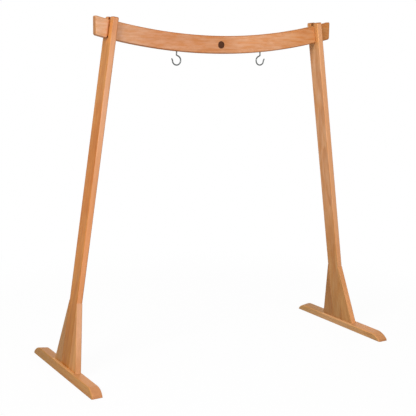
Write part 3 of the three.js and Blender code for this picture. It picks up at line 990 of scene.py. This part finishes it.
# Hooks
def hook_group():
    """A screw hook bent from one wire: stem, ring and flared tip."""
    t = Shape(
        "screw_hook",
        wire=WIRE, ring=RING, top=HOOK_DROP + HOOK_SCREW, stem=HOOK_STEM, tip_rise=TIP_RISE,
        tip_flare=TIP_FLARE, start_angle=math.radians(60.0), angle_step=math.radians(20.0),
        stem_points=5, ring_points=13, curve_points=160, sides=16, end_rounding=0.98,
    )
    size = t.size
    count = t.total(size["stem_points"], size["ring_points"], 1.0)
    line = t.node("GeometryNodeMeshLine", {"Count": count})
    index = t.node("GeometryNodeInputIndex").outputs[0]
    fall = t.math("DIVIDE", index, t.less(size["stem_points"], 1.0), clamp=True)
    stem_z = t.total(size["top"], t.product(fall, t.less(size["stem"], size["top"])))
    turned = t.product(t.less(index, size["stem_points"]), size["angle_step"])
    angle = t.less(size["start_angle"], turned)
    ring_x = t.product(t.math("COSINE", angle), size["ring"])
    ring_z = t.product(t.math("SINE", angle), size["ring"])
    tip_x = t.product(t.total(size["ring"], size["tip_flare"]), -1.0)
    place = t.combine(0.0, 0.0, stem_z)
    for limit, other in (
        (size["stem_points"], t.combine(ring_x, 0.0, ring_z)),
        (t.less(count, 1.0), t.combine(tip_x, 0.0, size["tip_rise"])),
    ):
        reached = t.math("GREATER_THAN", index, t.less(limit, 0.5))
        choice = t.node(
            "GeometryNodeSwitch", {"Switch": reached, "False": place, "True": other}, input_type="VECTOR"
        )
        place = choice.outputs[0]
    curve = t.node("GeometryNodeMeshToCurve", {"Mesh": t.place_points(line.outputs["Mesh"], place)})
    bent = t.node(
        "GeometryNodeCurveSplineType", {"Curve": curve.outputs["Curve"]}, spline_type="CATMULL_ROM"
    )
    fine = t.node(
        "GeometryNodeResampleCurve", {"Curve": bent.outputs["Curve"], "Count": size["curve_points"]}
    )

    # The cut end of the wire is rounded
    along = t.node("GeometryNodeSplineParameter").outputs["Length"]
    whole = t.node("GeometryNodeSplineLength").outputs["Length"]
    near = t.math("DIVIDE", t.less(along, t.less(whole, size["wire"])), size["wire"], clamp=True)
    taper = t.math("SQRT", t.less(1.0, t.product(near, near, size["end_rounding"])))
    section = t.node(
        "GeometryNodeCurvePrimitiveCircle", {"Resolution": size["sides"], "Radius": size["wire"]}
    )
    tube = t.node(
        "GeometryNodeCurveToMesh",
        {
            "Curve": fine.outputs["Curve"],
            "Profile Curve": section.outputs["Curve"],
            "Scale": taper,
            "Fill Caps": True,
        },
    )
    return t.close(tube.outputs["Mesh"])


zinc = steel("zinc_plate", "6c6f6d", "4e5150", 0.2)
hook_shape = hook_group()
ring_height = arc_height(UNDER_RADIUS, HOOK_X) - HOOK_DROP
for hook, sign, turn in (("left_hook", -1.0, 0.0), ("right_hook", 1.0, math.pi)):
    piece = shaped(hook + "_wire", hook_shape, zinc)
    place = Matrix.Translation((sign * HOOK_X, 0.0, ring_height))
    piece.data.transform(place @ Matrix.Rotation(turn, 4, "Z"))
    piece.data.shade_smooth()
    stand_for(piece, zinc, hook)


# Bolts, washers and pads
def bolt_group():
    """Two cap bolts, heads downwards: knurled heads with hexagon sockets, and rolled threads."""
    t = Shape(
        "cap_bolts",
        radius=BOLT_RADIUS, length=BOLT_LENGTH, pitch=THREAD_PITCH, thread_depth=THREAD_DEPTH,
        plain=0.016, run_out=0.002, overlap=0.001, point=0.0007, head_radius=HEAD_RADIUS,
        head_height=HEAD_HEIGHT, chamfer=0.0006, knurl=0.00018, ridges=24, socket_radius=SOCKET_RADIUS,
        socket_depth=SOCKET_DEPTH, spacing=BOLT_SPACING, seat=BOLT_SEAT, thread_rows=6.0,
        thread_columns=24.0,
    )
    size = t.size

    # Shank: a closing point, fine rows along the thread, and a closing point
    full = t.math("ADD", size["length"], size["overlap"])
    rows = t.math("ROUND", t.math("DIVIDE", t.product(full, size["thread_rows"]), size["pitch"]))
    rows = t.total(rows, 2.0)
    columns = size["thread_columns"]
    mesh, row, column = t.skin(rows, columns)
    run = t.math("DIVIDE", t.less(row, 1.0), t.less(rows, 2.0), clamp=True)
    z = t.less(t.product(run, full), size["overlap"])
    opened = t.math("MINIMUM", t.math("MINIMUM", row, t.less(rows, row)), 1.0)
    turns = t.total(t.math("DIVIDE", z, size["pitch"]), t.math("DIVIDE", column, columns))
    groove = t.math("ABSOLUTE", t.less(t.product(t.math("FRACT", turns), 2.0), 1.0))
    cut = t.spread(z, size["plain"], t.math("ADD", size["plain"], size["run_out"]))
    groove = t.product(groove, size["thread_depth"], cut)
    tip = t.spread(z, t.less(size["length"], size["point"]), size["length"])
    tip = t.product(tip, size["point"])
    radius = t.product(t.less(t.less(size["radius"], groove), tip), opened)
    shank = t.round_axis(mesh, column, columns, radius, z)

    # Head: closing points, chamfered rims and knurled side
    rows = 5.0
    columns = t.product(size["ridges"], 2.0)
    mesh, row, column = t.skin(rows, columns)
    inwards = t.math("MINIMUM", row, t.less(rows, row))
    opened = t.math("MINIMUM", inwards, 1.0)
    side = t.math("MAXIMUM", t.less(inwards, 1.0), 0.0)
    half = t.product(size["head_height"], 0.5)
    upper = t.math("SIGN", t.less(row, rows / 2))
    z = t.less(t.product(upper, t.less(half, t.product(side, size["chamfer"]))), half)
    ridge = t.product(t.math("MODULO", column, 2.0), size["knurl"], side)
    rim = t.less(size["head_radius"], t.product(t.less(1.0, side), size["chamfer"]))
    head = t.round_axis(mesh, column, columns, t.less(t.product(rim, opened), ridge), z)

    hexagon = t.plug(sides=6, radius=size["socket_radius"], reach=size["socket_depth"])
    end_of_head = t.combine(0.0, 0.0, t.product(size["head_height"], -1.0))
    solid = t.boolean("UNION", shank, head)
    bolt = t.welded(t.boolean("DIFFERENCE", solid, t.moved(hexagon, Translation=end_of_head)))
    return t.close(t.pair(bolt, size["spacing"], size["seat"]))


def washer_group():
    """Two flat washers with eased rims."""
    t = Shape(
        "flat_washers",
        bore=BOLT_RADIUS + BORE_CLEARANCE, radius=WASHER_RADIUS, thickness=WASHER_THICKNESS, ease=0.0003,
        ease_steps=2.0, sides=48, spacing=BOLT_SPACING, seat=BOLT_SEAT + SEAT_GAP,
    )
    size = t.size
    ease, steps, columns = size["ease"], size["ease_steps"], size["sides"]
    mesh, row, column = t.skin(t.product(t.math("ADD", steps, 1.0), 4.0), columns)
    across = t.product(t.less(size["radius"], size["bore"]), 0.5)
    up = t.product(size["thickness"], 0.5)
    out, rise = t.corners(row, steps, t.less(across, ease), t.less(up, ease), ease, ease)
    radius = t.total(size["bore"], across, out)
    ring = t.round_axis(mesh, column, columns, radius, t.total(up, rise))
    return t.close(t.pair(ring, size["spacing"], size["seat"]))


def pad_group():
    """Two round pads with rings moulded into their undersides."""
    t = Shape(
        "foot_pads",
        radius=PAD_RADIUS, thickness=PAD_THICKNESS, ease=0.0008, rings=10, groove=0.0004, sides=48,
        spacing=PAD_SPACING,
    )
    size = t.size
    rings, columns = size["rings"], size["sides"]
    mesh, row, column = t.skin(t.math("ADD", rings, 3.0), columns)

    # From the middle of the underside: the moulded rings, the eased rim, the side and the closed top
    tread = t.math("DIVIDE", row, rings, clamp=True)
    beyond = t.math("MAXIMUM", t.less(row, rings), 0.0)
    rim = t.math("MINIMUM", beyond, 1.0)
    top = t.math("MINIMUM", t.math("MAXIMUM", t.less(beyond, 1.0), 0.0), 1.0)
    closing = t.math("MAXIMUM", t.less(beyond, 2.0), 0.0)
    radius = t.total(t.product(tread, t.less(size["radius"], size["ease"])), t.product(rim, size["ease"]))
    radius = t.product(radius, t.less(1.0, closing))
    z = t.total(
        t.product(t.math("MODULO", row, 2.0), size["groove"], t.less(1.0, rim)),
        t.product(rim, t.less(1.0, top), size["ease"]),
        t.product(top, size["thickness"]),
    )
    return t.close(t.pair(t.round_axis(mesh, column, columns, radius, z), size["spacing"]))


black_oxide = steel("black_oxide", "4a4b4d", "2e2f31", 0.36)
fittings = (
    ("bolt", bolt_group(), black_oxide),
    ("washer", washer_group(), zinc),
    ("pad", pad_group(), rubber("pad_rubber")),
)
for leg, sign in (("left", -1.0), ("right", 1.0)):
    leaning = Matrix.Translation((sign * LEG_X, 0.0, 0.0)) @ Matrix.Rotation(-sign * LEAN, 4, "Y")
    level = Matrix.Translation((sign * (LEG_X + FOOT_OFFSET / math.cos(LEAN)), 0.0, 0.0))
    for name, group, finish in fittings:
        piece = shaped(f"{leg}_{name}s", group, finish)
        piece.data.transform(level if name == "pad" else leaning)
        softened(piece, crease=30.0)
        stand_for(piece, finish, f"{leg}_front_{name}", f"{leg}_back_{name}")


# Inlay, inserts and dowels
dark_wood = beech(
    "walnut_inlay", (1.0, 0.0, 0.3), FRONT, seed=11.0, face="4d2a14", edge="3a2010", shine=0.15
)
smooth_board("bar_inlay", dark_wood)

brass = steel("insert_brass", "c9a866", "a88a4c", 0.3)
dowel_beech = beech("dowel_beech", UP_LEFT, OUT_LEFT, seed=12.6, face="ddb585", edge="d8ae7c")
for leg in ("left", "right"):
    for end in ("front", "back"):
        for fitting, finish in (("insert", brass), ("dowel", dowel_beech)):
            for slot in nodes[f"{leg}_{end}_{fitting}"].material_slots:
                slot.material = finish


# Floor, lamps and world
FLOOR_REACH = 14.0
WHITE = (1.0, 1.0, 1.0, 1.0)
MIDDLE_GREY = (0.5, 0.5, 0.5, 1.0)

# How far off the floor starts to lose its shadow and is plain white, and its glow near the stand
SHADOW_REACH = 1.1
WHITE_REACH = 2.2
NEAR_GLOW = 0.95


def looked_at(t):
    """One where the camera, a mirror or a clear body looks, and zero for light that only bounces."""
    path = t.node("ShaderNodeLightPath").outputs
    seen = t.math("MAXIMUM", path["Is Camera Ray"], path["Is Glossy Ray"])
    return t.math("MAXIMUM", seen, path["Is Transmission Ray"])


def show(t, out, factor, one, two):
    """Gives the output the first shader, turned into the second as far as the factor says."""
    blend = t.node("ShaderNodeMixShader", (factor, one.outputs[0], two.outputs[0]))
    t.feed(out.inputs["Surface"], blend.outputs[0])


def add_floor():
    """White paper that keeps a faint shadow near the stand and is plain white further off."""
    mesh = bpy.data.meshes.new("floor")
    signs = ((-1, -1), (1, -1), (1, 1), (-1, 1))
    mesh.from_pydata([(x * FLOOR_REACH, y * FLOOR_REACH, 0.0) for x, y in signs], [], [(0, 1, 2, 3)])
    floor = bpy.data.objects.new("floor", mesh)
    scene.collection.objects.link(floor)
    f = Finish("floor_paper")
    f.shader.inputs["Roughness"].default_value = 1.0
    f.shader.inputs["Specular IOR Level"].default_value = 0.0
    seen = looked_at(f)
    f.feed(f.shader.inputs["Base Color"], f.mix(seen, MIDDLE_GREY, WHITE))
    glow = f.node("ShaderNodeEmission", {"Color": WHITE, "Strength": 1.0})
    distance = f.vector("LENGTH", f.place["Object"])
    away = f.spread(distance, SHADOW_REACH, WHITE_REACH, NEAR_GLOW, 1.0, smooth=True)
    show(f, f.out, f.math("MULTIPLY", seen, away), f.shader, glow)
    mesh.materials.append(f.material)


def add_world(strength):
    """A white background, and even light of this strength on the stand."""
    world = bpy.data.worlds.new("studio")
    world.use_nodes = True
    t = Tree(world.node_tree)
    out = t.node("ShaderNodeOutputWorld")
    ambient = t.node("ShaderNodeBackground", {"Color": WHITE, "Strength": strength})
    white = t.node("ShaderNodeBackground", {"Color": WHITE, "Strength": 1.0})
    show(t, out, looked_at(t), ambient, white)
    scene.world = world


def add_lamp(name, place, target, size, power, glints=True):
    """A square lamp at a place, turned to its target. Without glints no mirror shows it."""
    data = bpy.data.lights.new(name, "AREA")
    data.shape = "SQUARE"
    data.size = size
    data.energy = power
    lamp = bpy.data.objects.new(name, data)
    aim = Vector(target) - Vector(place)
    lamp.matrix_world = Matrix.Translation(place) @ aim.to_track_quat("-Z", "Y").to_matrix().to_4x4()
    lamp.visible_glossy = glints
    scene.collection.objects.link(lamp)


add_floor()
add_world(strength=0.28)
add_lamp("key", (-6.2, -3.5, 4.4), (0.0, 0.0, 0.8), size=3.0, power=265.0)
add_lamp("front", (0.5, -8.0, 1.8), (0.3, 0.0, 0.8), size=3.0, power=240.0)
add_lamp("top", (-1.0, -1.0, 3.6), (-0.3, 0.0, 1.2), size=2.0, power=33.0)
add_lamp("back", (4.5, 6.5, 3.2), (0.0, 0.0, 0.8), size=4.0, power=190.0, glints=False)

scene.view_settings.view_transform = "Standard"
